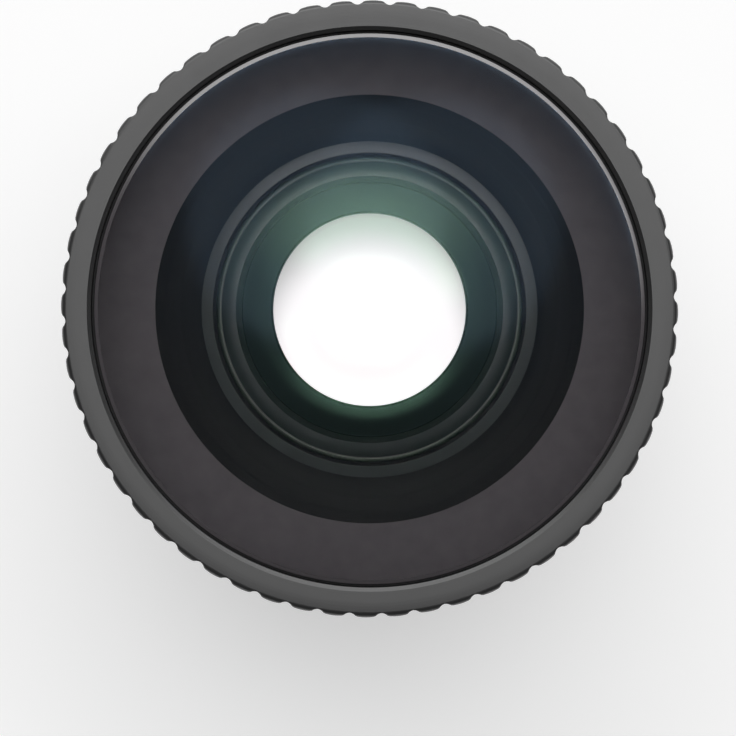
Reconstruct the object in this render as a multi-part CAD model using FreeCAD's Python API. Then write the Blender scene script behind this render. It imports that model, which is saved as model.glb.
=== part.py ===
"""Ultra-wide-angle add-on lens: a front section that unscrews from a base with an M17 rear thread.

Millimetres. The optical axis is +Z, the front glass looks up, and the lens stands on the end of
its rear thread at z = 0. Half-sections are written as (radius, height) points.
"""
import FreeCAD, Part
import math
import os

# Rear thread and seat face
MOUNT_THREAD_RADIUS = 8.5
MOUNT_THREAD_PITCH = 0.75
NOSE_LENGTH = 3.0
NOSE_WALL = 0.54
NOSE_CHAMFER = 0.25
RELIEF_LENGTH = 0.4
UNDERCUT_WIDTH = 0.3
UNDERCUT_DEPTH = 0.1
FLANGE_THICKNESS = 1.6
THREAD_DEPTH_SHARE = 0.6134
THREAD_ROOT_SHARE = 0.125
THREAD_FLANK_ANGLE = 30.0

# Screws that hold the mount ring
MOUNT_SCREW_COUNT = 3
MOUNT_SCREW_ANGLE = 90.0
MOUNT_SCREW_RADIUS = 0.7
MOUNT_SCREW_LENGTH = 4.0
MOUNT_SCREW_WALL = 0.45
MOUNT_HEAD_RADIUS = 1.15
MOUNT_HEAD_HEIGHT = 0.5
CROSS_RECESS_LENGTH = 1.3
CROSS_RECESS_WIDTH = 0.28
CROSS_RECESS_DEPTH = 0.35

# Rear glass group
REAR_GLASS_RADIUS = 10.4
EXIT_LAND = 0.15
BAFFLE_RIM_WIDTH = 0.58
BAFFLE_HEIGHT = 1.4
REAR_SEAL_THICKNESS = 0.25
REAR_SEAL_WIDTH = 0.5
FLINT_REAR_CURVE = 130.0
FLINT_THICKNESS = 1.1
CEMENTED_CURVE = 37.0
CEMENT_THICKNESS = 0.02
CROWN_FRONT_CURVE = 37.0
CROWN_EDGE_THICKNESS = 0.82
REAR_RING_COVER = 0.55
REAR_RING_HEIGHT = 1.93

# Base barrel, outwards from the rear glass
NECK_STEP = 0.55
NECK_WALL = 1.55
NECK_LENGTH = 3.4
NECK_RIM_HEIGHT = 1.12
NECK_CHAMFER = 0.4
SEAM_THREAD_PITCH = 0.75
SEAM_RELIEF_LENGTH = 0.5
SEAM_SHOULDER_WIDTH = 1.5
BASE_EDGE = 0.35
SKIRT_WALL = 0.95
GRIP_FLUTES = 72
GRIP_FLUTE_DEPTH = 0.28
GRIP_FLUTE_WIDTH = 0.62
GRIP_BAND_MARGIN = 1.4

# Seam between the two sections
WASHER_THICKNESS = 0.3
WASHER_INSET = 0.2
SEAM_CLEARANCE = 0.1
NECK_TOP_CLEARANCE = 0.3

# Second element and what holds it
WEB_THICKNESS = 0.45
SHIM_THICKNESS = 0.2
SHIM_WIDTH = 0.9
MASK_THICKNESS = 0.1
MASK_WIDTH = 1.1
SECOND_GLASS_RADIUS = 11.6
SECOND_GLASS_THICKNESS = 1.05
SECOND_FRONT_CURVE = 200.0
SECOND_RING_COVER = 1.2
SECOND_RING_STEP = 0.37
SECOND_RING_HEIGHT = 0.7

# Spacer between the second element and the front glass
SPACER_FOOT_WIDTH = 0.85
SPACER_WALL = 0.77
SPACER_HEIGHT = 3.24

# Front element, outwards from the second element
DISH_MARGIN = 0.23
FRONT_SEAT_WIDTH = 3.75
FRONT_REAR_CURVE = 20.0
FRONT_FRONT_CURVE = 60.0
FRONT_GLASS_THICKNESS = 1.8
FRONT_GLASS_STEP = 0.7
FRONT_GLASS_STEP_HEIGHT = 1.41
FRONT_GLASS_BEVEL = 0.22
FRONT_GLASS_BEVEL_DROP = 0.07
FRONT_GASKET_THICKNESS = 0.35
FRONT_GASKET_MARGIN = 1.15
FRONT_SEAL_THICKNESS = 0.35
FRONT_SEAL_RISE = 0.65

# Wide barrel
WIDE_FOOT_HEIGHT = 1.3
WIDE_FOOT_FILLET = 2.2
WIDE_RIM_HEIGHT = 0.9
WIDE_RIM_INSET = 0.12
WIDE_RIM_FILLET = 1.6
FILLET_WALL_SHARE = 0.95
SPIGOT_HEIGHT = 3.3

# Knurled ring
RING_WALL = 1.2
PAD_COUNT = 60
PAD_PHASE = 5.25
NOTCH_DEPTH = 0.26
PAD_TOP_HALF_ANGLE = 1.15
PAD_SHOULDER_HALF_ANGLE = 1.95
PAD_CROWN = 0.03
PAD_SHOULDER_DROP = 0.12
PAD_SHOULDER_FULLNESS = 0.3
PAD_LOWER_CHAMFER = 0.25
RING_EDGE_ROUNDING = 0.35
RING_LIP_GAP = 0.2
RING_LIP_HEIGHT = 1.25
RING_LIP_CHAMFER = 0.23
RING_LIP_CHAMFER_DROP = 0.155
RING_BAND_HEIGHT = 1.8
RING_BAND_INSET = 0.58
RING_BAND_EDGE = 0.25

# Set screws that lock the knurled ring
GRUB_COUNT = 3
GRUB_RADIUS = 0.7
GRUB_BITE = 0.4
GRUB_SUNK = 0.1
GRUB_ANGLE = 30.0
GRUB_SOCKET_RADIUS = 0.38
GRUB_SOCKET_DEPTH = 0.5

# Fits
SLIP = 0.05
THREAD_SLIP = 0.03
CONTACT = 0.01

AXIS = FreeCAD.Vector(0, 0, 1)
ORIGIN = FreeCAD.Vector(0, 0, 0)


def sag(curve, r):
    """Depth of a spherical face of radius curve, from its pole to radius r."""
    return curve - math.sqrt(curve * curve - r * r)


# Radii, outwards from the glass
mount_root_radius = MOUNT_THREAD_RADIUS - THREAD_DEPTH_SHARE * MOUNT_THREAD_PITCH
seat_inner_radius = MOUNT_THREAD_RADIUS + UNDERCUT_WIDTH
nose_bore_radius = mount_root_radius - NOSE_WALL
exit_radius = nose_bore_radius - SLIP
rear_bore_radius = REAR_GLASS_RADIUS + SLIP
neck_bore_radius = REAR_GLASS_RADIUS + NECK_STEP
seam_thread_radius = neck_bore_radius + NECK_WALL
seam_bore_radius = seam_thread_radius + SEAM_CLEARANCE
base_radius = seam_thread_radius + SEAM_SHOULDER_WIDTH
skirt_radius = base_radius - SKIRT_WALL
flange_radius = skirt_radius - SLIP
mount_screw_circle = rear_bore_radius + MOUNT_SCREW_WALL + MOUNT_SCREW_RADIUS
web_bore_radius = SECOND_GLASS_RADIUS - MASK_WIDTH
second_ring_outer_radius = SECOND_GLASS_RADIUS + SECOND_RING_STEP
dish_radius = second_ring_outer_radius + DISH_MARGIN
spacer_outer_radius = dish_radius + SPACER_WALL
spacer_bore_radius = spacer_outer_radius + THREAD_SLIP
front_flange_radius = spacer_bore_radius + FRONT_SEAT_WIDTH
front_glass_radius = front_flange_radius - FRONT_GLASS_STEP
ring_bore_radius = front_flange_radius + SLIP
spigot_radius = ring_bore_radius - THREAD_SLIP
lip_radius = front_glass_radius + RING_LIP_GAP
pads_radius = ring_bore_radius + RING_WALL
band_radius = pads_radius - RING_BAND_INSET
wide_rim_radius = band_radius - WIDE_RIM_INSET

# Levels along the optical axis, from the rear up
seat_z = NOSE_LENGTH
flange_top_z = seat_z + FLANGE_THICKNESS
baffle_top_z = flange_top_z + BAFFLE_HEIGHT
rear_seal_top_z = baffle_top_z + REAR_SEAL_THICKNESS
rear_seal_radius = REAR_GLASS_RADIUS - REAR_SEAL_WIDTH
flint_rear_pole_z = rear_seal_top_z + CONTACT - sag(FLINT_REAR_CURVE, rear_seal_radius)
flint_front_pole_z = flint_rear_pole_z + FLINT_THICKNESS
crown_rear_pole_z = flint_front_pole_z + CEMENT_THICKNESS
crown_rear_edge_z = crown_rear_pole_z + sag(CEMENTED_CURVE, REAR_GLASS_RADIUS)
crown_front_edge_z = crown_rear_edge_z + CROWN_EDGE_THICKNESS
crown_front_pole_z = crown_front_edge_z + sag(CROWN_FRONT_CURVE, REAR_GLASS_RADIUS)
rear_ring_radius = REAR_GLASS_RADIUS - REAR_RING_COVER
rear_ring_z = crown_front_pole_z - sag(CROWN_FRONT_CURVE, rear_ring_radius) + CONTACT
rear_ring_top_z = rear_ring_z + REAR_RING_HEIGHT
neck_top_z = rear_ring_top_z + NECK_RIM_HEIGHT
base_top_z = neck_top_z - NECK_LENGTH
wide_bottom_z = base_top_z + WASHER_THICKNESS
web_z = neck_top_z + NECK_TOP_CLEARANCE
web_top_z = web_z + WEB_THICKNESS
shim_top_z = web_top_z + SHIM_THICKNESS
mask_top_z = shim_top_z + MASK_THICKNESS
second_rear_z = mask_top_z + CONTACT
second_front_pole_z = second_rear_z + SECOND_GLASS_THICKNESS
second_edge_z = second_front_pole_z + sag(SECOND_FRONT_CURVE, SECOND_GLASS_RADIUS)
second_ring_z = second_edge_z + CONTACT
second_ring_top_z = second_ring_z + SECOND_RING_HEIGHT
spacer_z = second_ring_top_z + CONTACT
spacer_top_z = spacer_z + SPACER_HEIGHT
front_rear_z = spacer_top_z + SLIP
spigot_top_z = front_rear_z - FRONT_GASKET_THICKNESS
ring_bottom_z = spigot_top_z - SPIGOT_HEIGHT
front_rear_pole_z = front_rear_z + sag(FRONT_REAR_CURVE, dish_radius)
front_pole_z = front_rear_pole_z + FRONT_GLASS_THICKNESS
front_rim_z = front_pole_z - sag(FRONT_FRONT_CURVE, front_glass_radius)
front_shoulder_z = front_rim_z - FRONT_GLASS_STEP_HEIGHT
lip_z = front_shoulder_z + FRONT_SEAL_THICKNESS
ring_top_z = lip_z + RING_LIP_HEIGHT
grub_z = ring_bottom_z + RING_BAND_HEIGHT / 2


def via(r, z):
    """Marks a point that an arc passes through on its way to the next point of a section."""
    return ("via", r, z)


def turned(section):
    """Solid turned about the optical axis from a closed half-section of (radius, height) points."""
    edges = []
    index = 0
    while index < len(section):
        start = section[index]
        follower = section[(index + 1) % len(section)]
        if follower[0] == "via":
            end = section[(index + 2) % len(section)]
            bow = FreeCAD.Vector(follower[1], 0, follower[2])
            edges.append(Part.Arc(lift(start), bow, lift(end)).toShape())
            index += 2
        else:
            edges.append(Part.LineSegment(lift(start), lift(follower)).toShape())
            index += 1
    face = Part.Face(Part.Wire(edges))
    return face.revolve(ORIGIN, AXIS, 360)


def lift(point):
    """Section point in the XZ plane."""
    return FreeCAD.Vector(point[0], 0, point[1])


def ring(inner, outer, bottom, top):
    """Plain ring with a rectangular half-section."""
    return turned([(inner, bottom), (outer, bottom), (outer, top), (inner, top)])


def circle_at(shape, r, z):
    """The circular edge of a turned shape nearest to a radius and height."""
    circles = [e for e in shape.Edges if isinstance(e.Curve, Part.Circle)]
    return min(circles, key=lambda e: abs(e.Curve.Radius - r) + abs(e.Curve.Center.z - z))


def polar(r, degrees):
    """Point at radius r and an angle about the optical axis."""
    angle = math.radians(degrees)
    return FreeCAD.Vector(r * math.cos(angle), r * math.sin(angle), 0)


def around(shape, count, first_angle):
    """Copies of a shape, evenly spaced about the optical axis."""
    copies = []
    for number in range(count):
        copy = shape.copy()
        copy.rotate(ORIGIN, AXIS, first_angle + number * 360.0 / count)
        copies.append(copy)
    return copies


def thread_rings(major, pitch, bottom, top):
    """Half-section points of an external thread between two heights, as parallel V grooves."""
    depth = THREAD_DEPTH_SHARE * pitch
    root_half = THREAD_ROOT_SHARE * pitch / 2
    mouth_half = root_half + depth * math.tan(math.radians(THREAD_FLANK_ANGLE))
    turns = int((top - bottom) / pitch)
    first = (bottom + top - (turns - 1) * pitch) / 2
    points = []
    for turn in range(turns):
        middle = first + turn * pitch
        points.append((major, middle - mouth_half))
        points.append((major - depth, middle - root_half))
        points.append((major - depth, middle + root_half))
        points.append((major, middle + mouth_half))
    return points


def fluted_prism(outline, bottom, top):
    """Prism of a closed outline about the optical axis, given as arcs."""
    face = Part.Face(Part.Wire(outline))
    face.translate(FreeCAD.Vector(0, 0, bottom))
    return face.extrude(FreeCAD.Vector(0, 0, top - bottom))


def arc_through(a, b, c):
    """Arc edge through three points."""
    return Part.Arc(a, b, c).toShape()


def make_mount_ring():
    """Threaded rear ring: hollow nose with the M17 thread, under a flange with countersunk holes."""
    relief_z = seat_z - RELIEF_LENGTH
    body = turned([
        (nose_bore_radius, 0),
        (MOUNT_THREAD_RADIUS - NOSE_CHAMFER, 0),
        (MOUNT_THREAD_RADIUS, NOSE_CHAMFER),
        *thread_rings(MOUNT_THREAD_RADIUS, MOUNT_THREAD_PITCH, NOSE_CHAMFER, relief_z),
        (MOUNT_THREAD_RADIUS, relief_z),
        (mount_root_radius, relief_z),
        (mount_root_radius, seat_z + UNDERCUT_DEPTH),
        (seat_inner_radius, seat_z + UNDERCUT_DEPTH),
        (seat_inner_radius, seat_z),
        (flange_radius, seat_z),
        (flange_radius, flange_top_z),
        (nose_bore_radius, flange_top_z),
    ])
    pocket = turned([
        (0, seat_z - CONTACT),
        (MOUNT_HEAD_RADIUS + SLIP, seat_z - CONTACT),
        (MOUNT_HEAD_RADIUS + SLIP, seat_z),
        (MOUNT_SCREW_RADIUS + SLIP, seat_z + MOUNT_HEAD_HEIGHT),
        (MOUNT_SCREW_RADIUS + SLIP, flange_top_z + SLIP),
        (0, flange_top_z + SLIP),
    ])
    pocket.translate(FreeCAD.Vector(mount_screw_circle, 0, 0))
    return body.cut(Part.makeCompound(around(pocket, MOUNT_SCREW_COUNT, MOUNT_SCREW_ANGLE)))


def make_mount_screws():
    """Countersunk cross-recess screws, heads sunk just below the seat face."""
    head_z = seat_z + CONTACT
    screw = turned([
        (0, head_z),
        (MOUNT_HEAD_RADIUS, head_z),
        (MOUNT_SCREW_RADIUS, head_z + MOUNT_HEAD_HEIGHT),
        (MOUNT_SCREW_RADIUS, head_z + MOUNT_SCREW_LENGTH),
        (0, head_z + MOUNT_SCREW_LENGTH),
    ])
    for turn in (0, 90):
        slot = Part.makeBox(CROSS_RECESS_LENGTH, CROSS_RECESS_WIDTH, CROSS_RECESS_DEPTH)
        slot.translate(FreeCAD.Vector(-CROSS_RECESS_LENGTH / 2, -CROSS_RECESS_WIDTH / 2, head_z))
        slot.rotate(ORIGIN, AXIS, turn)
        screw = screw.cut(slot)
    screw.translate(FreeCAD.Vector(mount_screw_circle, 0, 0))
    return Part.makeCompound(around(screw, MOUNT_SCREW_COUNT, MOUNT_SCREW_ANGLE))


def make_base_barrel():
    """Rear housing: fluted body, bored for the rear glass, with a threaded neck for the front."""
    relief = seam_thread_radius - THREAD_DEPTH_SHARE * SEAM_THREAD_PITCH
    relief_top_z = base_top_z + SEAM_RELIEF_LENGTH
    neck_chamfer_z = neck_top_z - NECK_CHAMFER
    body = turned([
        (skirt_radius, seat_z),
        (base_radius - BASE_EDGE, seat_z),
        (base_radius, seat_z + BASE_EDGE),
        (base_radius, base_top_z - BASE_EDGE),
        (base_radius - BASE_EDGE, base_top_z),
        (relief, base_top_z),
        (relief, relief_top_z),
        (seam_thread_radius, relief_top_z),
        *thread_rings(seam_thread_radius, SEAM_THREAD_PITCH, relief_top_z, neck_chamfer_z),
        (seam_thread_radius, neck_chamfer_z),
        (seam_thread_radius - NECK_CHAMFER, neck_top_z),
        (neck_bore_radius, neck_top_z),
        (neck_bore_radius, rear_ring_z),
        (rear_bore_radius, rear_ring_z),
        (rear_bore_radius, flange_top_z),
        (skirt_radius, flange_top_z),
    ])
    flute_radius = (GRIP_FLUTE_WIDTH ** 2 / 4 + GRIP_FLUTE_DEPTH ** 2) / (2 * GRIP_FLUTE_DEPTH)
    flute = Part.makeCylinder(flute_radius, base_top_z - seat_z - 2 * GRIP_BAND_MARGIN)
    flute.translate(FreeCAD.Vector(base_radius + flute_radius - GRIP_FLUTE_DEPTH, 0,
                                   seat_z + GRIP_BAND_MARGIN))
    body = body.cut(Part.makeCompound(around(flute, GRIP_FLUTES, 0)))
    hole = Part.makeCylinder(MOUNT_SCREW_RADIUS + THREAD_SLIP,
                             seat_z + MOUNT_SCREW_LENGTH - flange_top_z + 2 * SLIP)
    hole.translate(FreeCAD.Vector(mount_screw_circle, 0, flange_top_z - SLIP))
    return body.cut(Part.makeCompound(around(hole, MOUNT_SCREW_COUNT, MOUNT_SCREW_ANGLE)))


def make_exit_baffle():
    """Blackened conical ring behind the rear glass; its small end is the exit stop."""
    return turned([
        (exit_radius, flange_top_z),
        (REAR_GLASS_RADIUS, flange_top_z),
        (REAR_GLASS_RADIUS, baffle_top_z),
        (REAR_GLASS_RADIUS - BAFFLE_RIM_WIDTH, baffle_top_z),
        (exit_radius, flange_top_z + EXIT_LAND),
    ])


def make_rear_seal():
    """Flat rubber ring under the rim of the rear glass."""
    return ring(rear_seal_radius, REAR_GLASS_RADIUS, baffle_top_z, rear_seal_top_z)


def make_rear_flint_element():
    """Rear half of the cemented pair: hollow front, slightly full rear."""
    r = REAR_GLASS_RADIUS
    return turned([
        (0, flint_rear_pole_z),
        via(r / 2, flint_rear_pole_z + sag(FLINT_REAR_CURVE, r / 2)),
        (r, flint_rear_pole_z + sag(FLINT_REAR_CURVE, r)),
        (r, flint_front_pole_z + sag(CEMENTED_CURVE, r)),
        via(r / 2, flint_front_pole_z + sag(CEMENTED_CURVE, r / 2)),
        (0, flint_front_pole_z),
    ])


def make_rear_crown_element():
    """Front half of the cemented pair: full on both sides."""
    r = REAR_GLASS_RADIUS
    return turned([
        (0, crown_rear_pole_z),
        via(r / 2, crown_rear_pole_z + sag(CEMENTED_CURVE, r / 2)),
        (r, crown_rear_pole_z + sag(CEMENTED_CURVE, r)),
        (r, crown_front_pole_z - sag(CROWN_FRONT_CURVE, r)),
        via(r / 2, crown_front_pole_z - sag(CROWN_FRONT_CURVE, r / 2)),
        (0, crown_front_pole_z),
    ])


def make_rear_retaining_ring():
    """Ring screwed into the neck on top of the rear glass."""
    return ring(rear_ring_radius, neck_bore_radius - THREAD_SLIP, rear_ring_z, rear_ring_top_z)


def make_joint_washer():
    """Friction washer round the neck, between the two sections."""
    return ring(seam_bore_radius, base_radius - WASHER_INSET, base_top_z, wide_bottom_z)


def make_wide_barrel():
    """Front housing: screws on the neck, flares out, and carries the second and the front element."""
    second_bore = SECOND_GLASS_RADIUS + SLIP
    second_ring_bore = second_ring_outer_radius + THREAD_SLIP
    foot_z = wide_bottom_z + WIDE_FOOT_HEIGHT
    rim_z = ring_bottom_z - WIDE_RIM_HEIGHT
    body = turned([
        (seam_bore_radius, wide_bottom_z),
        (base_radius - BASE_EDGE, wide_bottom_z),
        (base_radius, wide_bottom_z + BASE_EDGE),
        (base_radius, foot_z),
        (wide_rim_radius, rim_z),
        (wide_rim_radius, ring_bottom_z),
        (spigot_radius, ring_bottom_z),
        (spigot_radius, spigot_top_z),
        (spacer_bore_radius, spigot_top_z),
        (spacer_bore_radius, second_ring_top_z),
        (second_ring_bore, second_ring_top_z),
        (second_ring_bore, second_ring_z),
        (second_bore, second_ring_z),
        (second_bore, web_top_z),
        (web_bore_radius, web_top_z),
        (web_bore_radius, web_z),
        (seam_bore_radius, web_z),
    ])
    bend = math.atan2(abs(wide_rim_radius - base_radius), rim_z - foot_z)
    foot_limit = FILLET_WALL_SHARE * (WIDE_FOOT_HEIGHT - BASE_EDGE) / math.tan(bend / 2)
    rim_limit = FILLET_WALL_SHARE * WIDE_RIM_HEIGHT / math.tan(bend / 2)
    body = body.makeFillet(min(WIDE_FOOT_FILLET, foot_limit), [circle_at(body, base_radius, foot_z)])
    body = body.makeFillet(min(WIDE_RIM_FILLET, rim_limit), [circle_at(body, wide_rim_radius, rim_z)])
    bite = Part.makeCylinder(GRUB_RADIUS + THREAD_SLIP, GRUB_BITE + RING_WALL, ORIGIN,
                             FreeCAD.Vector(1, 0, 0))
    bite.translate(FreeCAD.Vector(spigot_radius - GRUB_BITE - SLIP, 0, grub_z))
    return body.cut(Part.makeCompound(around(bite, GRUB_COUNT, GRUB_ANGLE)))


def make_second_shim():
    """Thin brass ring that sets the air space behind the second element."""
    outer = SECOND_GLASS_RADIUS
    return ring(outer - SHIM_WIDTH, outer, web_top_z, shim_top_z)


def make_light_baffle():
    """Black film ring that masks the rim of the second element."""
    outer = SECOND_GLASS_RADIUS
    return ring(outer - MASK_WIDTH, outer, shim_top_z, mask_top_z)


def make_second_element():
    """Second element: flat behind, slightly hollow in front."""
    r = SECOND_GLASS_RADIUS
    return turned([
        (0, second_rear_z),
        (r, second_rear_z),
        (r, second_edge_z),
        via(r / 2, second_front_pole_z + sag(SECOND_FRONT_CURVE, r / 2)),
        (0, second_front_pole_z),
    ])


def make_second_retaining_ring():
    """Ring screwed into the wide barrel on top of the second element."""
    inner = SECOND_GLASS_RADIUS - SECOND_RING_COVER
    return ring(inner, second_ring_outer_radius, second_ring_z, second_ring_top_z)


def make_spacer_ring():
    """Blackened spacer with a conical bore, between the second element and the front glass."""
    return turned([
        (second_ring_outer_radius - SPACER_FOOT_WIDTH, spacer_z),
        (spacer_outer_radius, spacer_z),
        (spacer_outer_radius, spacer_top_z),
        (dish_radius + SLIP, spacer_top_z),
    ])


def make_front_gasket():
    """Flat gasket between the wide barrel's end and the back rim of the front glass."""
    inner = spacer_bore_radius + FRONT_GASKET_MARGIN
    return ring(inner, front_flange_radius, spigot_top_z, front_rear_z)


def make_front_element():
    """Front glass: a full front face, a deep hollow behind, a flat back rim and a stepped edge."""
    dish_half = dish_radius / 2
    glass_half = front_glass_radius / 2
    bevel_r = front_glass_radius - FRONT_GLASS_BEVEL
    bevel_z = front_pole_z - sag(FRONT_FRONT_CURVE, bevel_r)
    return turned([
        (0, front_rear_pole_z),
        via(dish_half, front_rear_pole_z - sag(FRONT_REAR_CURVE, dish_half)),
        (dish_radius, front_rear_z),
        (front_flange_radius, front_rear_z),
        (front_flange_radius, front_shoulder_z),
        (front_glass_radius, front_shoulder_z),
        (front_glass_radius, front_rim_z - FRONT_GLASS_BEVEL_DROP),
        (bevel_r, bevel_z),
        via(glass_half, front_pole_z - sag(FRONT_FRONT_CURVE, glass_half)),
        (0, front_pole_z),
    ])


def make_front_seal():
    """Rubber seal round the front glass: a flat foot under the ring's lip and a thin wall beside it."""
    inner = front_glass_radius + CONTACT
    return turned([
        (inner, front_shoulder_z),
        (front_flange_radius, front_shoulder_z),
        (front_flange_radius, lip_z),
        (lip_radius - CONTACT, lip_z),
        (lip_radius - CONTACT, lip_z + FRONT_SEAL_RISE),
        (inner, lip_z + FRONT_SEAL_RISE),
    ])


def pad_outline():
    """Outline of the grip: low crowned pads with rounded shoulders and hollow notches between them."""
    step = 360.0 / PAD_COUNT
    side_radius = pads_radius - PAD_CROWN
    shoulder_radius = pads_radius - PAD_SHOULDER_DROP
    notch_radius = pads_radius - NOTCH_DEPTH
    shoulder_middle = (PAD_TOP_HALF_ANGLE + PAD_SHOULDER_HALF_ANGLE) / 2
    shoulder_bow = side_radius - PAD_SHOULDER_FULLNESS * (side_radius - shoulder_radius)
    edges = []
    for number in range(PAD_COUNT):
        centre = PAD_PHASE + number * step
        before = polar(shoulder_radius, centre - PAD_SHOULDER_HALF_ANGLE)
        left = polar(side_radius, centre - PAD_TOP_HALF_ANGLE)
        right = polar(side_radius, centre + PAD_TOP_HALF_ANGLE)
        after = polar(shoulder_radius, centre + PAD_SHOULDER_HALF_ANGLE)
        following = polar(shoulder_radius, centre + step - PAD_SHOULDER_HALF_ANGLE)
        edges.append(arc_through(before, polar(shoulder_bow, centre - shoulder_middle), left))
        edges.append(arc_through(left, polar(pads_radius, centre), right))
        edges.append(arc_through(right, polar(shoulder_bow, centre + shoulder_middle), after))
        edges.append(arc_through(after, polar(notch_radius, centre + step / 2), following))
    return edges


def make_knurled_ring():
    """Grip ring: flat face with a lip over the glass, rounded pads, and a plain band below them."""
    pads_z = ring_bottom_z + RING_BAND_HEIGHT
    edge_inset = RING_EDGE_ROUNDING * (1 - math.sqrt(0.5))
    blank = turned([
        (ring_bore_radius, ring_bottom_z),
        (band_radius - RING_BAND_EDGE, ring_bottom_z),
        (band_radius, ring_bottom_z + RING_BAND_EDGE),
        (band_radius, pads_z),
        (pads_radius - PAD_LOWER_CHAMFER, pads_z),
        (pads_radius, pads_z + PAD_LOWER_CHAMFER),
        (pads_radius, ring_top_z - RING_EDGE_ROUNDING),
        via(pads_radius - edge_inset, ring_top_z - edge_inset),
        (pads_radius - RING_EDGE_ROUNDING, ring_top_z),
        (lip_radius + RING_LIP_CHAMFER, ring_top_z),
        (lip_radius, ring_top_z - RING_LIP_CHAMFER_DROP),
        (lip_radius, lip_z),
        (ring_bore_radius, lip_z),
    ])
    grip = fluted_prism(pad_outline(), ring_bottom_z - SLIP, ring_top_z + SLIP)
    body = blank.common(grip)
    hole = Part.makeCylinder(GRUB_RADIUS + THREAD_SLIP, GRUB_BITE + RING_WALL, ORIGIN,
                             FreeCAD.Vector(1, 0, 0))
    hole.translate(FreeCAD.Vector(spigot_radius - GRUB_BITE, 0, grub_z))
    return body.cut(Part.makeCompound(around(hole, GRUB_COUNT, GRUB_ANGLE)))


def make_ring_grub_screws():
    """Set screws with a hexagon socket, through the ring's plain band into the barrel's spigot."""
    start = spigot_radius - GRUB_BITE
    length = band_radius - GRUB_SUNK - start
    screw = Part.makeCylinder(GRUB_RADIUS, length, ORIGIN, FreeCAD.Vector(1, 0, 0))
    flats = [
        FreeCAD.Vector(length - GRUB_SOCKET_DEPTH,
                       GRUB_SOCKET_RADIUS * math.cos(math.radians(60 * side)),
                       GRUB_SOCKET_RADIUS * math.sin(math.radians(60 * side)))
        for side in range(6)
    ]
    socket = Part.Face(Part.makePolygon(flats + flats[:1]))
    screw = screw.cut(socket.extrude(FreeCAD.Vector(GRUB_SOCKET_DEPTH + SLIP, 0, 0)))
    screw.translate(FreeCAD.Vector(start, 0, grub_z))
    return Part.makeCompound(around(screw, GRUB_COUNT, GRUB_ANGLE))


PIECES = {
    "mount_ring": make_mount_ring,
    "mount_screws": make_mount_screws,
    "base_barrel": make_base_barrel,
    "exit_baffle": make_exit_baffle,
    "rear_seal": make_rear_seal,
    "rear_flint_element": make_rear_flint_element,
    "rear_crown_element": make_rear_crown_element,
    "rear_retaining_ring": make_rear_retaining_ring,
    "joint_washer": make_joint_washer,
    "wide_barrel": make_wide_barrel,
    "second_shim": make_second_shim,
    "light_baffle": make_light_baffle,
    "second_element": make_second_element,
    "second_retaining_ring": make_second_retaining_ring,
    "spacer_ring": make_spacer_ring,
    "front_gasket": make_front_gasket,
    "front_element": make_front_element,
    "front_seal": make_front_seal,
    "knurled_ring": make_knurled_ring,
    "ring_grub_screws": make_ring_grub_screws,
}

os.makedirs("parts", exist_ok=True)
for name, make in PIECES.items():
    shape = make()
    shape.exportStep("parts/" + name + ".step")
    low, high = shape.BoundBox.ZMin, shape.BoundBox.ZMax
    print(f"{name:24s} solids {len(shape.Solids)}  valid {shape.isValid()}  "
          f"volume {shape.Volume:9.3f}  z {low:.2f} to {high:.2f}")
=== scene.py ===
"""Looks of an ultra-wide-angle add-on lens, built from its rear thread up to the grip ring.

Sizes in the sections are millimetres; Blender's objects are metres. The optical axis is +Z.
"""
import bpy
import bmesh
import math
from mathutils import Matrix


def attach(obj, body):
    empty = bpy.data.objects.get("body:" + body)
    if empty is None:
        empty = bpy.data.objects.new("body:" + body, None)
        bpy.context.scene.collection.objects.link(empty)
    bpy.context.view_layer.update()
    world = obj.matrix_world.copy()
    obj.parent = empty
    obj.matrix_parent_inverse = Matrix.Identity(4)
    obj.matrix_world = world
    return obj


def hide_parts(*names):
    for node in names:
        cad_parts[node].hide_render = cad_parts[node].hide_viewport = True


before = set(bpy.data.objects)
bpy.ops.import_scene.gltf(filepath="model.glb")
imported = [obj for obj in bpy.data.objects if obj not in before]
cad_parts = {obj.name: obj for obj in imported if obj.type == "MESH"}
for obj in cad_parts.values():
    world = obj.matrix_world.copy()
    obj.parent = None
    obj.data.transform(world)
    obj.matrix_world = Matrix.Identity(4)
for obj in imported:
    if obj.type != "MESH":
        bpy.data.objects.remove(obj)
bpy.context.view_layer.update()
MM = 0.001


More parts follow.
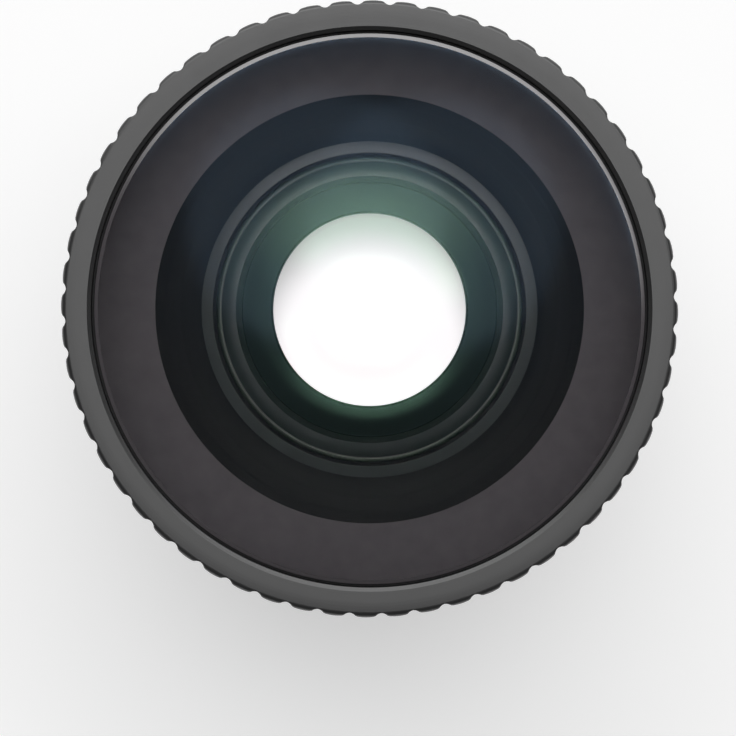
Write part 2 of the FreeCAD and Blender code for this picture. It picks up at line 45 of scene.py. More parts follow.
# View, table and room. The lens stands on its rear thread on a plain white table and is seen from
# straight above its front glass. Two soft lamps hang overhead in a broad glow, and a long window of
# two panes lights it from the far side; the rest of the room is dim.
class Link:
    """One output of a material's nodes; a + b, a * b and 1 - a add Math nodes."""

    def __init__(self, node, output=0):
        self.node, self.output = node, output

    def add(self, kind, settings, sockets, output=0):
        """Adds any node: its settings come first, then the values or links of its sockets."""
        tree = self.node.id_data
        made = tree.nodes.new(kind)
        for setting, value in settings.items():
            setattr(made, setting, value)
        for socket, value in sockets.items():
            if isinstance(value, Link):
                tree.links.new(value.node.outputs[value.output], made.inputs[socket])
            else:
                made.inputs[socket].default_value = value
        return Link(made, output)

    def maths(self, operation, *values):
        return self.add("ShaderNodeMath", {"operation": operation}, dict(enumerate(values)))

    def vector(self, operation, *others, output=0):
        """Vector Math on this link and, for some operations, another vector."""
        return self.add("ShaderNodeVectorMath", {"operation": operation},
                        dict(enumerate((self, *others))), output)

    def __add__(self, other):
        return self.maths("ADD", self, other)

    def __rsub__(self, other):
        return self.maths("SUBTRACT", other, self)

    def __mul__(self, other):
        return self.maths("MULTIPLY", self, other)

    __radd__ = __add__
    __rmul__ = __mul__

    def ramp(self, low, high):
        """0 below low, 1 above high, eased between."""
        return self.add("ShaderNodeMapRange", {"interpolation_type": "SMOOTHSTEP"},
                        {"Value": self, "From Min": low, "From Max": high})

    def noise(self, scale, detail):
        """Even mottling over a place in mm, about 1 / scale across, as a number near one half."""
        return self.add("ShaderNodeTexNoise", {"noise_dimensions": "3D"},
                        {"Vector": self, "Scale": scale, "Detail": detail}, "Fac")

    def between(self, dark, light):
        """Colour between two, by this link."""
        return self.add("ShaderNodeMix", {"data_type": "RGBA"},
                        {"Factor": self, "A": (*dark, 1.0), "B": (*light, 1.0)}, "Result")

    def about(self, colour, spread):
        """Colour by this link, from a share darker to the same share lighter than the given one."""
        return self.between([(1 - spread) * c for c in colour], [(1 + spread) * c for c in colour])

    def feed(self, shader, socket):
        self.node.id_data.links.new(self.node.outputs[self.output], shader.node.inputs[socket])

    def emboss(self, shader, strength, depth):
        """Bumps a shader's surface by this link, as a height of up to depth mm."""
        bump = self.add("ShaderNodeBump", {}, {
            "Strength": strength, "Distance": depth * MM, "Height": self})
        bump.feed(shader, "Normal")


def plain_finish(name, **settings):
    """New material: its Principled shader with plain values set, and the object's coordinates in mm."""
    material = bpy.data.materials.new(name)
    material.use_nodes = True
    shader = Link(material.node_tree.nodes["Principled BSDF"])
    for socket, value in settings.items():
        shader.node.inputs[socket.replace("_", " ")].default_value = value
    place = shader.add("ShaderNodeTexCoord", {}, {}, "Object")
    place = shader.add("ShaderNodeVectorMath", {"operation": "SCALE"}, {0: place, "Scale": 1 / MM})
    return material, shader, place


camera_place, camera_tilt = (-0.093, -1.0, 322.94), -0.466
focal_length, sensor_width = 251.9, 36.0
camera = bpy.data.objects.new("camera", bpy.data.cameras.new("camera"))
bpy.context.scene.collection.objects.link(camera)
camera.location = [c * MM for c in camera_place]
camera.rotation_euler = (math.radians(camera_tilt), 0, 0)
camera.data.lens = focal_length
camera.data.sensor_width = sensor_width
camera.data.clip_start = 0.01
camera.data.clip_end = 20.0
bpy.context.scene.camera = camera

table_size = 8000
table_white, table_glow, through_glow = 0.62, 0.47, 1.09
# Painted shadow under the lens: its centre on the table, the radii where it begins and where it is full,
# and its colour.
painted_shadow_centre, painted_shadow_start, painted_shadow_full = (0.0, -2.9, 0.0), 6.1, 10.2
painted_shadow_colour = (0.38, 0.385, 0.375)
bpy.ops.object.select_all(action="DESELECT")
bpy.ops.mesh.primitive_plane_add(size=table_size * MM)
table = bpy.context.object
table.name = table.data.name = "table"
table_top, shader, place = plain_finish(
    "table_top", Base_Color=(table_white, table_white, table_white, 1.0), Roughness=0.6,
    Specular_IOR_Level=0.1)
# Through the lens the table glows as a bright spot, with a painted shadow that darkens it towards the wall
# of the nose.
ray = shader.add("ShaderNodeLightPath", {}, {}, "Is Camera Ray")
through = Link(ray.node, "Is Transmission Ray")
seen = ray.maths("MAXIMUM", ray, Link(ray.node, "Is Glossy Ray"))
away = place.vector("DISTANCE", painted_shadow_centre, output="Value")
painted_nose_shadow = away.ramp(painted_shadow_start, painted_shadow_full) * through
painted_nose_shadow.between((1.0, 1.0, 1.0), painted_shadow_colour).feed(shader, "Emission Color")
(seen * table_glow * (1 - through) + through * through_glow).feed(shader, "Emission Strength")
table.data.materials.append(table_top)

room = bpy.data.worlds.new("room")
bpy.context.scene.world = room
room.use_nodes = True
walls = Link(room.node_tree.nodes["Background"])
toward = walls.add("ShaderNodeTexCoord", {}, {}, "Generated")


def compass(azimuth, off_vertical=90):
    """Direction in the room, in degrees from +X and from straight up."""
    turn, lean = math.radians(azimuth), math.radians(off_vertical)
    return math.sin(lean) * math.cos(turn), math.sin(lean) * math.sin(turn), math.cos(lean)


def facing(direction, middle, edge, core):
    """1 within core degrees of the middle, 0 past edge, eased between."""
    aligned = direction.vector("DOT_PRODUCT", middle, output="Value")
    return aligned.ramp(math.cos(math.radians(edge)), math.cos(math.radians(core)))


# Each patch of light is given by its edge and its core, in degrees from its middle.
level_part = (1.0, 1.0, 0.0)
overhead = (0.0, 0.0, 1.0)
lamp_patch, glow_patch = (17.4, 13.8), (40, 5)
upper_width, upper_end, pane_split = (80, 52), (42, 29), (52, 44)
lower_width, lower_end = (82, 0), (93, 48)
glow_strength, window_strength, wall_strength = 0.5, 2.8, 0.13
level = toward.vector("MULTIPLY", level_part).vector("NORMALIZE")
lamps = facing(toward, compass(54, 13), *lamp_patch) + facing(toward, compass(120, 13), *lamp_patch)
glow = facing(toward, compass(86, 20), *glow_patch) * glow_strength
above_split = facing(toward, overhead, *pane_split)
upper_pane = facing(level, compass(76), *upper_width) * above_split
upper_pane = upper_pane * (1 - facing(toward, overhead, *upper_end))
lower_pane = facing(level, compass(92), *lower_width)
lower_pane = lower_pane * lower_pane * (1 - above_split) * facing(toward, overhead, *lower_end)
window = (upper_pane + lower_pane) * window_strength
direct = walls.add("ShaderNodeLightPath", {}, {}, "Is Camera Ray")
(direct + (lamps + glow + window + wall_strength) * (1 - direct)).feed(walls, "Strength")
walls.node.inputs["Color"].default_value = (1.0, 1.0, 1.0, 1.0)
bpy.context.scene.view_settings.view_transform = "Standard"


# Mount ring. Aluminium, turned in one piece: a hollow nose with the M17 x 0.75 thread, and a flange
# whose rear is the seat face. It is black anodised and has three countersunk holes for its screws.
WELD = 0.0005  # points this close are merged
BEYOND = 99.0  # a radius outside every piece, where a wall isn't pulled in


def outline_in(start, points):
    """Draws a half-section in edit mode by extruding one vertex from point to point."""
    bpy.ops.object.select_all(action="DESELECT")
    bpy.ops.mesh.primitive_plane_add(size=MM)
    bpy.ops.object.mode_set(mode="EDIT")
    bpy.ops.mesh.merge(type="CENTER")
    bpy.ops.transform.translate(value=(start[0] * MM, 0, start[1] * MM))
    for before, point in zip([start] + points, points):
        step = ((point[0] - before[0]) * MM, 0, (point[1] - before[1]) * MM)
        bpy.ops.mesh.extrude_vertices_move(TRANSFORM_OT_translate={"value": step})


def pick_corners(piece, corners, near=1e-4):
    """Selects the outline's vertices at the given (radius, height) corners, in edit mode."""
    bpy.ops.mesh.select_mode(type="VERT")
    bpy.ops.mesh.select_all(action="DESELECT")
    mesh = bmesh.from_edit_mesh(piece.data)
    for vertex in mesh.verts:
        at = vertex.co / MM
        vertex.select_set(any(abs(at.x - r) + abs(at.z - z) < near for r, z in corners))
    bpy.context.view_layer.update()
    mesh.select_flush_mode()
    bmesh.update_edit_mesh(piece.data)


def spun(name, section, steps=192, smooth=35):
    """Turns a half-section of (radius, height[, edge rounding]) points about the axis."""
    points = [point[:2] for point in section]
    outline_in(points[0], points[1:])
    piece = bpy.context.object
    piece.name = piece.data.name = name
    bpy.ops.mesh.select_all(action="SELECT")
    if points[0][0] > 0:
        bpy.ops.mesh.edge_face_add()
        for rounding in sorted({point[2] for point in section if len(point) > 2}):
            pick_corners(piece, [point[:2] for point in section if rounding in point[2:]])
            bpy.ops.mesh.bevel(offset=rounding * MM, segments=4, profile=0.5, affect="VERTICES")
        bpy.ops.mesh.select_all(action="SELECT")
        bpy.ops.mesh.delete(type="ONLY_FACE")
    bpy.ops.object.mode_set(mode="OBJECT")
    bpy.ops.object.modifier_add(type="SCREW")
    turning = piece.modifiers[-1]
    turning.axis = "Z"
    turning.steps = turning.render_steps = steps
    turning.use_merge_vertices = True
    turning.merge_threshold = WELD * MM
    bpy.ops.object.modifier_apply(modifier=turning.name)
    outward(piece)
    soften(piece, smooth)
    return piece


def outward(piece):
    """Merges doubled vertices, then turns all the faces outwards."""
    alone(piece)
    bpy.ops.object.mode_set(mode="EDIT")
    bpy.ops.mesh.select_all(action="SELECT")
    bpy.ops.mesh.remove_doubles(threshold=WELD * MM)
    bpy.ops.mesh.normals_make_consistent(inside=False)
    bpy.ops.object.mode_set(mode="OBJECT")


def alone(piece):
    """Selects one piece and nothing else."""
    bpy.ops.object.select_all(action="DESELECT")
    piece.select_set(True)
    bpy.context.view_layer.objects.active = piece


def soften(piece, angle):
    """Smooth shading up to an angle, with normals that keep the broad faces flat."""
    alone(piece)
    bpy.ops.object.shade_smooth_by_angle(angle=math.radians(angle))
    bpy.ops.object.modifier_add(type="WEIGHTED_NORMAL")
    piece.modifiers[-1].keep_sharp = True
    bpy.ops.object.modifier_apply(modifier=piece.modifiers[-1].name)


def cut_three(piece, cutter):
    """Cuts a hole and its two copies a third of a turn apart, and clears the cutter away."""
    alone(cutter)
    bpy.ops.object.mode_set(mode="EDIT")
    bpy.ops.mesh.select_all(action="SELECT")
    for _ in range(2):
        bpy.ops.mesh.duplicate()
        bpy.ops.transform.rotate(value=math.tau / 3, orient_axis="Z", center_override=(0, 0, 0))
    bpy.ops.object.mode_set(mode="OBJECT")
    alone(piece)
    bpy.ops.object.modifier_add(type="BOOLEAN")
    cut = piece.modifiers[-1]
    cut.object = cutter
    cut.operation = "DIFFERENCE"
    cut.solver = "EXACT"
    bpy.ops.object.modifier_apply(modifier=cut.name)
    bpy.data.objects.remove(cutter)


def drilled_along_axis(name, section):
    """Cutter of a turned section, set on the circle of the mount screws."""
    cutter = spun(name, section, steps=48)
    bpy.ops.object.mode_set(mode="EDIT")
    bpy.ops.mesh.select_all(action="SELECT")
    bpy.ops.transform.translate(value=(0, screw_circle * MM, 0))
    bpy.ops.object.mode_set(mode="OBJECT")
    return cutter


def move_wall(piece, radius_at):
    """Pulls vertices in to radius_at(angle, height) in mm where they stand further out."""
    alone(piece)
    bpy.ops.object.mode_set(mode="EDIT")
    mesh = bmesh.from_edit_mesh(piece.data)
    for vertex in mesh.verts:
        reach = math.hypot(vertex.co.x, vertex.co.y)
        limit = radius_at(math.atan2(vertex.co.y, vertex.co.x), vertex.co.z / MM) * MM
        if reach > limit:
            vertex.co.x *= limit / reach
            vertex.co.y *= limit / reach
    bmesh.update_edit_mesh(piece.data)
    bpy.ops.object.mode_set(mode="OBJECT")
    outward(piece)


def helix(major, pitch, bottom, top):
    """Radius of a right-hand 60 degree thread at an angle and height, with flat crests and roots."""
    depth = 0.6134 * pitch
    root_half = pitch / 16
    flank = math.tan(math.radians(30))

    def radius_at(angle, height):
        if height < bottom or height > top:
            return BEYOND
        phase = (height / pitch - angle / math.tau) % 1.0
        beside = abs(phase - 0.5) * pitch - root_half
        return major - depth + min(max(beside / flank, 0.0), depth)

    return radius_at


def rows(radius, bottom, top, step):
    """Points up a wall, about a step apart."""
    count = max(1, round((top - bottom) / step))
    return [(radius, bottom + (top - bottom) * row / count) for row in range(count + 1)]


def anodised(name, dye, roughness, marks, skin=1.77):
    """Anodised aluminium: a dyed oxide skin, glassy itself, over fine turning and blasting marks."""
    material, shader, place = plain_finish(name, IOR=skin)
    grain = place.noise(scale=9.0, detail=4.0)
    cloud = place.noise(scale=0.55, detail=2.0)
    cloud.about(dye, spread=0.15).feed(shader, "Base Color")
    (grain * 0.08 + cloud * 0.05 + (roughness - 0.065)).feed(shader, "Roughness")
    marks_per_mm = 14.0
    up = place.add("ShaderNodeSeparateXYZ", {}, {"Vector": place}, "Z")
    out = place.vector("MULTIPLY", level_part).vector("LENGTH", output="Value")
    across = place.add("ShaderNodeCombineXYZ", {}, {"X": out * marks_per_mm, "Y": up * marks_per_mm})
    turning_marks = across.noise(scale=1.0, detail=2.0)
    (turning_marks * 0.6 + grain * 0.4).emboss(shader, strength=marks, depth=0.01)
    return material


def settle(piece, body, slot, materials, *nodes):
    """Gives a finished piece its materials and its body, and hides the CAD nodes it stands for; slot is
    not used.
    """
    for material in materials:
        piece.data.materials.append(material)
    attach(piece, body)
    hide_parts(*nodes)


seat_z, flange_radius, flange_top = 3.0, 13.0, 4.6
nose_radius, nose_bore, tip_radius, tip_chamfer = 8.5, 7.5, 8.25, 0.25
thread_pitch, thread_end, thread_top, thread_step = 0.75, 2.58, 2.6, 0.04
relief_radius, undercut_radius, undercut_top = 8.04, 8.8, 3.1
screw_circle, screw_radius, head_radius, head_height = 11.6, 0.7, 1.15, 0.5
fit_gap, thread_gap, overcut = 0.05, 0.03, 0.1
mount_ring = spun("lens_mount_ring", [
    (nose_bore, 0.0, 0.06), (tip_radius, 0.0),
    *rows(nose_radius, tip_chamfer, thread_top, thread_step),
    (relief_radius, thread_top), (relief_radius, undercut_top), (undercut_radius, undercut_top),
    (undercut_radius, seat_z, 0.04), (flange_radius, seat_z, 0.08), (flange_radius, flange_top),
    (nose_bore, flange_top, 0.06)], steps=216)
cut_three(mount_ring, drilled_along_axis("countersink", [
    (0.0, seat_z - overcut), (head_radius + fit_gap, seat_z - overcut),
    (head_radius + fit_gap, seat_z), (screw_radius + fit_gap, seat_z + head_height),
    (screw_radius + fit_gap, flange_top + overcut), (0.0, flange_top + overcut)]))
move_wall(mount_ring, helix(nose_radius, thread_pitch, 0.0, thread_end))
soften(mount_ring, 40)
mount_black = anodised("mount_black", dye=(0.010, 0.010, 0.011), roughness=0.36, marks=0.25)
settle(mount_ring, "base", "mount_black", [mount_black], "mount_ring")


# Mount screws. Three countersunk M1.4 screws of blackened steel, driven from behind through the
# flange into the base. The blackening is uneven, over a fine grain.
def bare_metal(name, colour, roughness, cloudiness):
    """Bare or blackened metal with a mottled surface and a fine grain."""
    material, shader, place = plain_finish(name, Metallic=1.0)
    mottle = place.noise(scale=2.2, detail=5.0)
    grain = place.noise(scale=24.0, detail=3.0)
    mottle.about(colour, spread=cloudiness).feed(shader, "Base Color")
    (mottle * 0.12 + grain * 0.08 + (roughness - 0.1)).feed(shader, "Roughness")
    (grain + mottle).emboss(shader, strength=0.25, depth=0.005)
    return material


def dress(node, material):
    """Gives a CAD piece that stays as it is its finish."""
    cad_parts[node].data.materials.clear()
    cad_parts[node].data.materials.append(material)


black_steel = bare_metal("black_steel", colour=(0.03, 0.03, 0.032), roughness=0.38, cloudiness=0.3)
dress("mount_screws", black_steel)


# Base barrel. Rear housing of aluminium, turned and black anodised, with 72 flutes milled round it
# for grip, a recess for the mount ring, and the threaded neck that carries the front section.
def fluted_wall(angle, height):
    """Outside of the base: plain bands, and flutes with rounded ends between them."""
    if height < flute_bottom or height > flute_top:
        return BEYOND
    cutter_radius = (flute_width ** 2 / 4 + flute_depth ** 2) / (2 * flute_depth)
    spacing = math.tau / flutes
    aside = ((angle + spacing / 2) % spacing - spacing / 2) * base_radius
    deep = math.sqrt(max(cutter_radius ** 2 - aside ** 2, 0.0)) - cutter_radius + flute_depth
    end = min(height - flute_bottom, flute_top - height) / flute_runout
    ease = math.sqrt(max(0.0, 1 - (1 - min(max(end, 0.0), 1.0)) ** 2))
    return base_radius - max(deep, 0.0) * ease


base_radius, base_top, base_edge = 14.0, 9.1307, 0.35
skirt_radius, tapped_top = 13.05, 7.05
flutes, flute_width, flute_depth = 72, 0.62, 0.28
flute_bottom, flute_top, flute_runout = 4.4, 7.73, 0.35
flute_ends = rows(base_radius, 4.3, 4.9, 0.06) + rows(base_radius, 7.3, 7.85, 0.06)
seam_thread_radius, seam_root, seam_relief = 12.5, 12.04, 0.5
neck_top, neck_chamfer, neck_bore = 12.5307, 0.4, 10.95
rear_bore, rear_ring_bottom = 10.45, 9.4807
base_barrel = spun("lens_base_barrel", [
    (skirt_radius, seat_z, 0.05), (base_radius - base_edge, seat_z), (base_radius, seat_z + base_edge),
    *flute_ends, (base_radius, base_top - base_edge), (base_radius - base_edge, base_top),
    (seam_root, base_top), (seam_root, base_top + seam_relief),
    *rows(seam_thread_radius, base_top + seam_relief, neck_top - neck_chamfer, thread_step),
    (seam_thread_radius - neck_chamfer, neck_top), (neck_bore, neck_top, 0.06),
    (neck_bore, rear_ring_bottom), (rear_bore, rear_ring_bottom),
    (rear_bore, flange_top), (skirt_radius, flange_top)], steps=576)
cut_three(base_barrel, drilled_along_axis("tapped_hole", [
    (0.0, flange_top - overcut), (screw_radius + thread_gap, flange_top - overcut),
    (screw_radius + thread_gap, tapped_top), (0.0, tapped_top)]))
seam_thread = helix(seam_thread_radius, thread_pitch, base_top + seam_relief, neck_top)
move_wall(base_barrel, lambda angle, height: min(fluted_wall(angle, height), seam_thread(angle, height)))
soften(base_barrel, 40)
barrel_black = anodised("barrel_black", dye=(0.010, 0.010, 0.011), roughness=0.38, marks=0.3)
settle(base_barrel, "base", "barrel_black", [barrel_black], "base_barrel")


# Exit baffle. Blackened conical ring behind the rear glass. Its small end, the exit stop that frames the
# white disc, is a thin land painted matt black that is also painted shade round the disc's edge; its cone
# is the dark surround.
def moulded(name, colour, roughness, grain_size, relief_depth):
    """Paint, rubber, film or plastic: an even colour, finely mottled, with a fine surface grain."""
    material, shader, place = plain_finish(name)
    mottle = place.noise(scale=0.9, detail=4.0)
    grain = place.noise(scale=1 / grain_size, detail=3.0)
    mottle.about(colour, spread=0.2).feed(shader, "Base Color")
    (mottle * 0.1 + grain * 0.1 + (roughness - 0.1)).feed(shader, "Roughness")
    grain.emboss(shader, strength=0.4, depth=relief_depth)
    return material


def blacken_bore(piece, radius):
    """Gives a ring's bore its matt black paint, as a second material."""
    piece.data.materials.append(bore_black)
    for face in piece.data.polygons:
        if math.hypot(face.center.x, face.center.y) < (radius + 0.02) * MM:
            face.material_index = 1


exit_radius, glass_radius, baffle_top = 7.45, 10.4, 6.0
stop_height, stop_paint_and_shade, cone_end = 0.15, 0.16, 9.82
cone_slope = (baffle_top - flange_top - stop_height) / (cone_end - exit_radius)
exit_baffle = spun("lens_exit_baffle", [
    (exit_radius, flange_top), (glass_radius, flange_top), (glass_radius, baffle_top),
    (cone_end, baffle_top), (exit_radius + stop_paint_and_shade, flange_top + stop_height + stop_paint_and_shade * cone_slope),
    (exit_radius, flange_top + stop_height)])
baffle_black = anodised("baffle_black", dye=(0.070, 0.092, 0.125), roughness=0.42, marks=0.2)
bore_black = moulded("bore_black", colour=(0.006, 0.006, 0.006), roughness=0.8,
                     grain_size=0.06, relief_depth=0.01)
settle(exit_baffle, "base", "baffle_black", [baffle_black], "exit_baffle")
# The matt black land at the small end is painted shade round the edge of the white disc, as well as paint.
blacken_bore(exit_baffle, exit_radius + stop_paint_and_shade)


# Rear seal. Flat black rubber ring, cut from sheet, that the rear glass is pressed on. It lies on the
# front of the exit baffle.
seal_rubber = moulded("seal_rubber", colour=(0.012, 0.012, 0.013), roughness=0.65,
                      grain_size=0.08, relief_depth=0.01)
dress("rear_seal", seal_rubber)


# Rear glass. A cemented pair with a thin line of cement between them: a flint that is hollow in front
# and a crown that is full on both sides. The coating on the crown mirrors a soft green.
def face_points(curve, pole, inner, outer, side, count=36):
    """Points on a ground face from radius inner to outer; side is +1 where the rim is above the pole."""
    points = []
    for step in range(count + 1):
        r = inner + (outer - inner) * step / count
        points.append((r, pole + side * (curve - math.sqrt(curve * curve - r * r))))
    return points


def coated_glass(name, index, coating):
    """Polished optical glass with a trace of dust, and a coating that tints what its faces mirror."""
    material, shader, place = plain_finish(
        name, IOR=index, Transmission_Weight=1.0, Specular_Tint=(*coating, 1.0))
    dust = place.noise(scale=3.0, detail=6.0).ramp(0.62, 0.8)
    dust.between((0.992, 0.996, 0.992), (0.97, 0.975, 0.97)).feed(shader, "Base Color")
    (dust * 0.02).feed(shader, "Roughness")
    return material


flint_index, crown_index = 1.72, 1.60
flint_back, flint_rear_pole, flint_front_pole = 130, 5.8825, 6.9825
cemented_curve, crown_curve, crown_rear_pole, crown_front_pole = 37, 37, 7.0025, 10.8059
rear_flint = spun("lens_rear_flint", [
    *face_points(flint_back, flint_rear_pole, 0, glass_radius, 1),
    *face_points(cemented_curve, flint_front_pole, 0, glass_radius, 1)[::-1]], smooth=30)
rear_glass = coated_glass("rear_glass", flint_index, coating=(0.10, 0.20, 0.15))
settle(rear_flint, "base", "coated_glass", [rear_glass], "rear_flint_element")
rear_crown = spun("lens_rear_crown", [
    *face_points(cemented_curve, crown_rear_pole, 0, glass_radius, 1),
    *face_points(crown_curve, crown_front_pole, 0, glass_radius, -1)[::-1]], smooth=30)
crown_glass = coated_glass("crown_glass", crown_index, coating=(0.2, 0.45, 0.28))
settle(rear_crown, "base", "coated_glass", [crown_glass], "rear_crown_element")


# Rear retaining ring. Turned aluminium ring screwed into the neck on top of the rear glass, anodised
# dark, with a face that falls off a little to a sharp inner edge, and a bore painted matt black.
rear_ring_inner, rear_ring_outer, rear_ring_top = 9.85, 10.92, 11.4107
fall_width, fall_depth = 1.0, 0.055
falling_face = [(rear_ring_inner + fall_width * share, rear_ring_top - fall_depth * (1 - share) ** 2)
                for share in (1.0, 0.8, 0.6, 0.4, 0.2, 0.0)]
rear_ring = spun("lens_rear_retaining_ring", [
    (rear_ring_inner, rear_ring_bottom), (rear_ring_outer, rear_ring_bottom),
    (rear_ring_outer, rear_ring_top, 0.05), *falling_face])
rear_ring_grey = anodised("rear_ring_grey", dye=(0.075, 0.081, 0.087), roughness=0.30, marks=0.08,
                          skin=1.62)
settle(rear_ring, "base", "inner_ring_grey", [rear_ring_grey], "rear_retaining_ring")
blacken_bore(rear_ring, rear_ring_inner)


# Joint washer. Smooth black nylon friction washer round the neck, between the two sections. It is
# pressed lightly, so that the front section turns without play.
washer_inner, washer_outer, wide_bottom = 12.6, 13.8, 9.4307
joint_washer = spun("lens_joint_washer", [
    (washer_inner, base_top), (washer_outer, base_top, 0.05),
    (washer_outer, wide_bottom, 0.05), (washer_inner, wide_bottom)])
washer_plastic = moulded("washer_plastic", colour=(0.03, 0.03, 0.031), roughness=0.42,
                         grain_size=0.2, relief_depth=0.005)
settle(joint_washer, "washer", "washer_plastic", [washer_plastic], "joint_washer")


# Wide barrel. Front housing of black anodised aluminium, turned: it screws on the neck, flares out,
# and ends in the spigot that the grip ring slides on, with three shallow bites for its set screws.
def drilled_inward(name, radius, inner, outer, height):
    """Cutter for a hole drilled in towards the axis at the near side, between two radii."""
    bpy.ops.object.select_all(action="DESELECT")
    bpy.ops.mesh.primitive_cylinder_add(
        vertices=48, radius=radius * MM, depth=(outer - inner) * MM,
        location=(0, -(inner + outer) / 2 * MM, height * MM), rotation=(math.pi / 2, 0, 0))
    cutter = bpy.context.object
    cutter.name = cutter.data.name = name
    bpy.ops.object.transform_apply(location=True, rotation=True, scale=True)
    return cutter


web_bottom, web_top, web_bore = 12.8307, 13.2807, 10.5
second_radius, second_ring_outer, spacer_bore = 11.6, 11.97, 13.0
second_ring_bottom, second_ring_top = 14.9873, 15.6873
wide_edge, flare_start, flare_rounding, rim_rounding = 0.35, 1.3, 0.7, 0.6
rim_radius, rim_bottom, rim_top = 17.3, 14.4373, 15.3373
spigot_radius, spigot_top = 16.77, 18.6373
set_screw_radius, set_screw_height, set_screw_bite = 0.7, 16.2373, 0.4
wide_barrel = spun("lens_wide_barrel", [
    (washer_inner, wide_bottom, 0.06), (base_radius - wide_edge, wide_bottom),
    (base_radius, wide_bottom + wide_edge), (base_radius, wide_bottom + flare_start, flare_rounding),
    (rim_radius, rim_bottom, rim_rounding), (rim_radius, rim_top),
    (spigot_radius, rim_top), (spigot_radius, spigot_top), (spacer_bore, spigot_top),
    (spacer_bore, second_ring_top), (second_ring_outer + thread_gap, second_ring_top),
    (second_ring_outer + thread_gap, second_ring_bottom), (second_radius + fit_gap, second_ring_bottom),
    (second_radius + fit_gap, web_top), (web_bore, web_top), (web_bore, web_bottom),
    (washer_inner, web_bottom)], steps=256)
cut_three(wide_barrel, drilled_inward(
    "bite", set_screw_radius + thread_gap, inner=spigot_radius - set_screw_bite - fit_gap, outer=18.0,
    height=set_screw_height))
soften(wide_barrel, 35)
settle(wide_barrel, "wide_section", "barrel_black", [barrel_black], "wide_barrel")


# Second element, in its seat with a brass shim ring that sets the air space and a black film mask on
# its rim. The glass is flat behind and slightly hollow in front, and its coating hardly mirrors.
second_index, second_curve = 1.52, 200
second_rear, second_front_pole = 13.5907, 14.6407
second_element = spun("lens_second_element", [
    *[(second_radius * step / 8, second_rear) for step in range(9)],
    *face_points(second_curve, second_front_pole, 0, second_radius, 1)[::-1]], smooth=30)
second_glass = coated_glass("second_glass", second_index, coating=(0.16, 0.30, 0.27))
settle(second_element, "wide_section", "coated_glass", [second_glass], "second_element")
shim_brass = bare_metal("shim_brass", colour=(0.6, 0.42, 0.18), roughness=0.3, cloudiness=0.15)
dress("second_shim", shim_brass)
black_film = moulded("black_film", colour=(0.01, 0.01, 0.01), roughness=0.6,
                     grain_size=0.04, relief_depth=0.004)
dress("light_baffle", black_film)


# Second retaining ring. Anodised aluminium ring screwed in on top of the second element; its flat
# face is the outer of the two lighter rings inside the lens.
second_ring_inner = 10.4
second_ring = spun("lens_second_retaining_ring", [
    (second_ring_inner, second_ring_bottom), (second_ring_outer, second_ring_bottom),
    (second_ring_outer, second_ring_top, 0.04), (second_ring_inner, second_ring_top, 0.04)])
inner_ring_grey = anodised("inner_ring_grey", dye=(0.043, 0.053, 0.053), roughness=0.34, marks=0.08,
                           skin=1.62)
settle(second_ring, "wide_section", "inner_ring_grey", [inner_ring_grey], "second_retaining_ring")
blacken_bore(second_ring, second_ring_inner)


# Spacer ring. Aluminium ring, blackened dull, that holds the front glass off the second retaining
# ring. Its conical bore is the wide dark band round the inner rings.
spacer_bottom, spacer_top = 15.6973, 18.9373
spacer_narrow, spacer_wide, spacer_outer = 11.12, 12.25, 12.97
spacer = spun("lens_spacer_ring", [
    (spacer_narrow, spacer_bottom, 0.03), (spacer_outer, spacer_bottom),
    (spacer_outer, spacer_top), (spacer_wide, spacer_top)])
spacer_black = anodised("spacer_black", dye=(0.005, 0.005, 0.005), roughness=0.55, marks=0.5)
settle(spacer, "wide_section", "baffle_black", [spacer_black], "spacer_ring")


# Front glass, on a flat rubber gasket. A large element with a full front face and a deep hollow
# behind. Its flat back rim and stepped edge are painted, and show through it as the wide grey band;
# the bevel round the front face is left bare and catches the window's light.
dress("front_gasket", seal_rubber)
front_index, hollow_curve, front_curve = 1.62, 20, 60
hollow_radius, back_rim, hollow_pole, front_pole = 12.2, 18.99, 23.1393, 24.9393
step_radius, front_radius, shoulder = 16.75, 16.05, 21.3428
bevel_width, bevel_drop, bevel_index, margin = 0.22, 0.035, 1.95, 0.05
rim_height = front_pole - front_curve + math.sqrt(front_curve ** 2 - front_radius ** 2)
front_element = spun("lens_front_element", [
    *face_points(hollow_curve, hollow_pole, 0, hollow_radius, -1, 48),
    *[(r, back_rim) for r in (13.5, 15.0, step_radius)], (step_radius, shoulder),
    (front_radius, shoulder), (front_radius, rim_height - bevel_drop),
    *face_points(front_curve, front_pole, 0, front_radius - bevel_width, -1, 48)[::-1],
], steps=256, smooth=20)
front_glass = coated_glass("front_glass", front_index, coating=(0.14, 0.21, 0.31))
hollow_glass = coated_glass("hollow_glass", front_index, coating=(0.30, 0.52, 0.30))
painted_rim = moulded("painted_rim", colour=(0.132, 0.118, 0.129), roughness=0.7,
                      grain_size=0.12, relief_depth=0.01)
bare_bevel, shader, place = plain_finish("bare_bevel", IOR=bevel_index)
frost = place.noise(scale=6.0, detail=4.0)
frost.between((0.045, 0.040, 0.045), (0.062, 0.054, 0.060)).feed(shader, "Base Color")
(frost * 0.1 + 0.13).feed(shader, "Roughness")
for face in front_element.data.polygons:
    r = math.hypot(face.center.x, face.center.y) / MM
    height = face.center.z / MM
    if front_radius - bevel_width < r < front_radius - margin and height > shoulder + margin:
        face.material_index = 3
    elif r > hollow_radius and (r > front_radius - margin or height < back_rim + margin):
        face.material_index = 2
    elif r < hollow_radius and face.normal.z < 0:
        face.material_index = 1
settle(front_element, "wide_section", "coated_glass",
       [front_glass, hollow_glass, painted_rim, bare_bevel], "front_element")


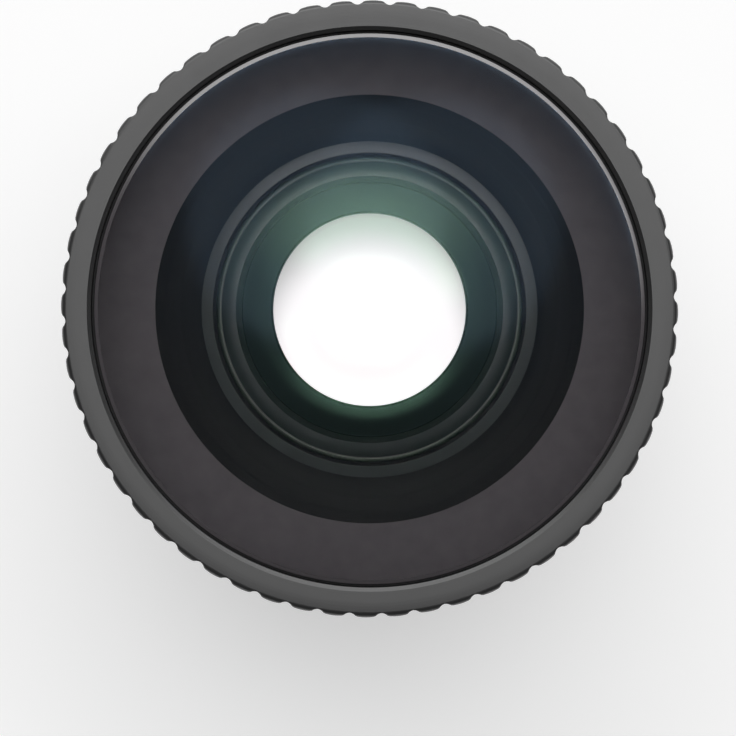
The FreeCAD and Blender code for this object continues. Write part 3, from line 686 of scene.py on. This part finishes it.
# Front seal. Black rubber ring round the front glass: a flat foot clamped under the grip ring's lip,
# and a thin wall that closes the groove beside the glass.
seal_inner, seal_wall, lip_bottom, seal_rise = 16.06, 16.24, 21.6928, 0.65
front_seal = spun("lens_front_seal", [
    (seal_inner, shoulder), (step_radius, shoulder), (step_radius, lip_bottom), (seal_wall, lip_bottom),
    (seal_wall, lip_bottom + seal_rise, 0.05), (seal_inner, lip_bottom + seal_rise, 0.05)])
settle(front_seal, "wide_section", "seal_rubber", [seal_rubber], "front_seal")


# Grip ring. Aluminium ring pushed on the spigot and locked by three set screws: a flat face with a
# lip over the glass, 60 low rounded pads milled round it, and a plain band below them. Dark grey
# anodised over a fine blasted surface.
def padded_wall(angle, height):
    """Outline of the grip: low crowned pads with rounded shoulders and hollow notches."""
    if height < pads_bottom:
        return BEYOND
    spacing = 360 / pads
    aside = abs((math.degrees(angle) - pad_phase + spacing / 2) % spacing - spacing / 2)
    if aside < pad_half:
        return grip_radius - pad_crown * (aside / pad_half) ** 2
    if aside < shoulder_half:
        along = (aside - pad_half) / (shoulder_half - pad_half)
        fall = pad_shoulder - pad_crown
        return grip_radius - pad_shoulder + fall * math.sqrt(max(0.0, 1 - along ** 2))
    along = (aside - shoulder_half) / (spacing / 2 - shoulder_half)
    return grip_radius - pad_shoulder - (notch_depth - pad_shoulder) * math.sin(math.pi / 2 * along)


pads, pad_phase, pad_half, shoulder_half = 60, 5.25, 1.15, 1.95
pad_crown, pad_shoulder, notch_depth = 0.03, 0.12, 0.26
grip_bore, grip_radius, lip_radius, face_middle = 16.8, 18.0, 16.25, 17.0
band_radius, band_chamfer, pads_bottom, grip_top = 17.42, 0.25, 17.1373, 22.9428
edge_rounding, edge_steps, lip_chamfer, lip_drop = 0.35, 8, 0.23, 0.155
rounded_edge = []
for step in range(edge_steps):
    tilt = math.pi / 2 * (1 - step / edge_steps)
    rounded_edge.append((grip_radius - edge_rounding * (1 - math.sin(tilt)),
                         grip_top - edge_rounding * (1 - math.cos(tilt))))
grip_ring = spun("lens_knurled_ring", [
    (grip_bore, rim_top), (band_radius - band_chamfer, rim_top), (band_radius, rim_top + band_chamfer),
    *[(r, pads_bottom) for r in (band_radius, 17.5, 17.6, 17.75)],
    *rows(grip_radius, pads_bottom + 0.25, grip_top - edge_rounding - 0.1, 1.0), *rounded_edge,
    (grip_radius - edge_rounding, grip_top), (face_middle, grip_top),
    (lip_radius + lip_chamfer, grip_top), (lip_radius, grip_top - lip_drop),
    (lip_radius, lip_bottom), (grip_bore, lip_bottom)], steps=960, smooth=25)
cut_three(grip_ring, drilled_inward(
    "set_screw_hole", set_screw_radius + thread_gap, inner=16.0, outer=18.5, height=set_screw_height))
move_wall(grip_ring, padded_wall)
soften(grip_ring, 25)
grip_grey = anodised("grip_ring_grey", dye=(0.012, 0.012, 0.0125), roughness=0.33, marks=0.3)
settle(grip_ring, "wide_section", "grip_ring_grey", [grip_grey], "knurled_ring")


# Set screws. Three short blackened steel screws with a hexagon socket, driven through the plain band
# of the grip ring into the bites of the wide barrel.
dress("ring_grub_screws", black_steel)
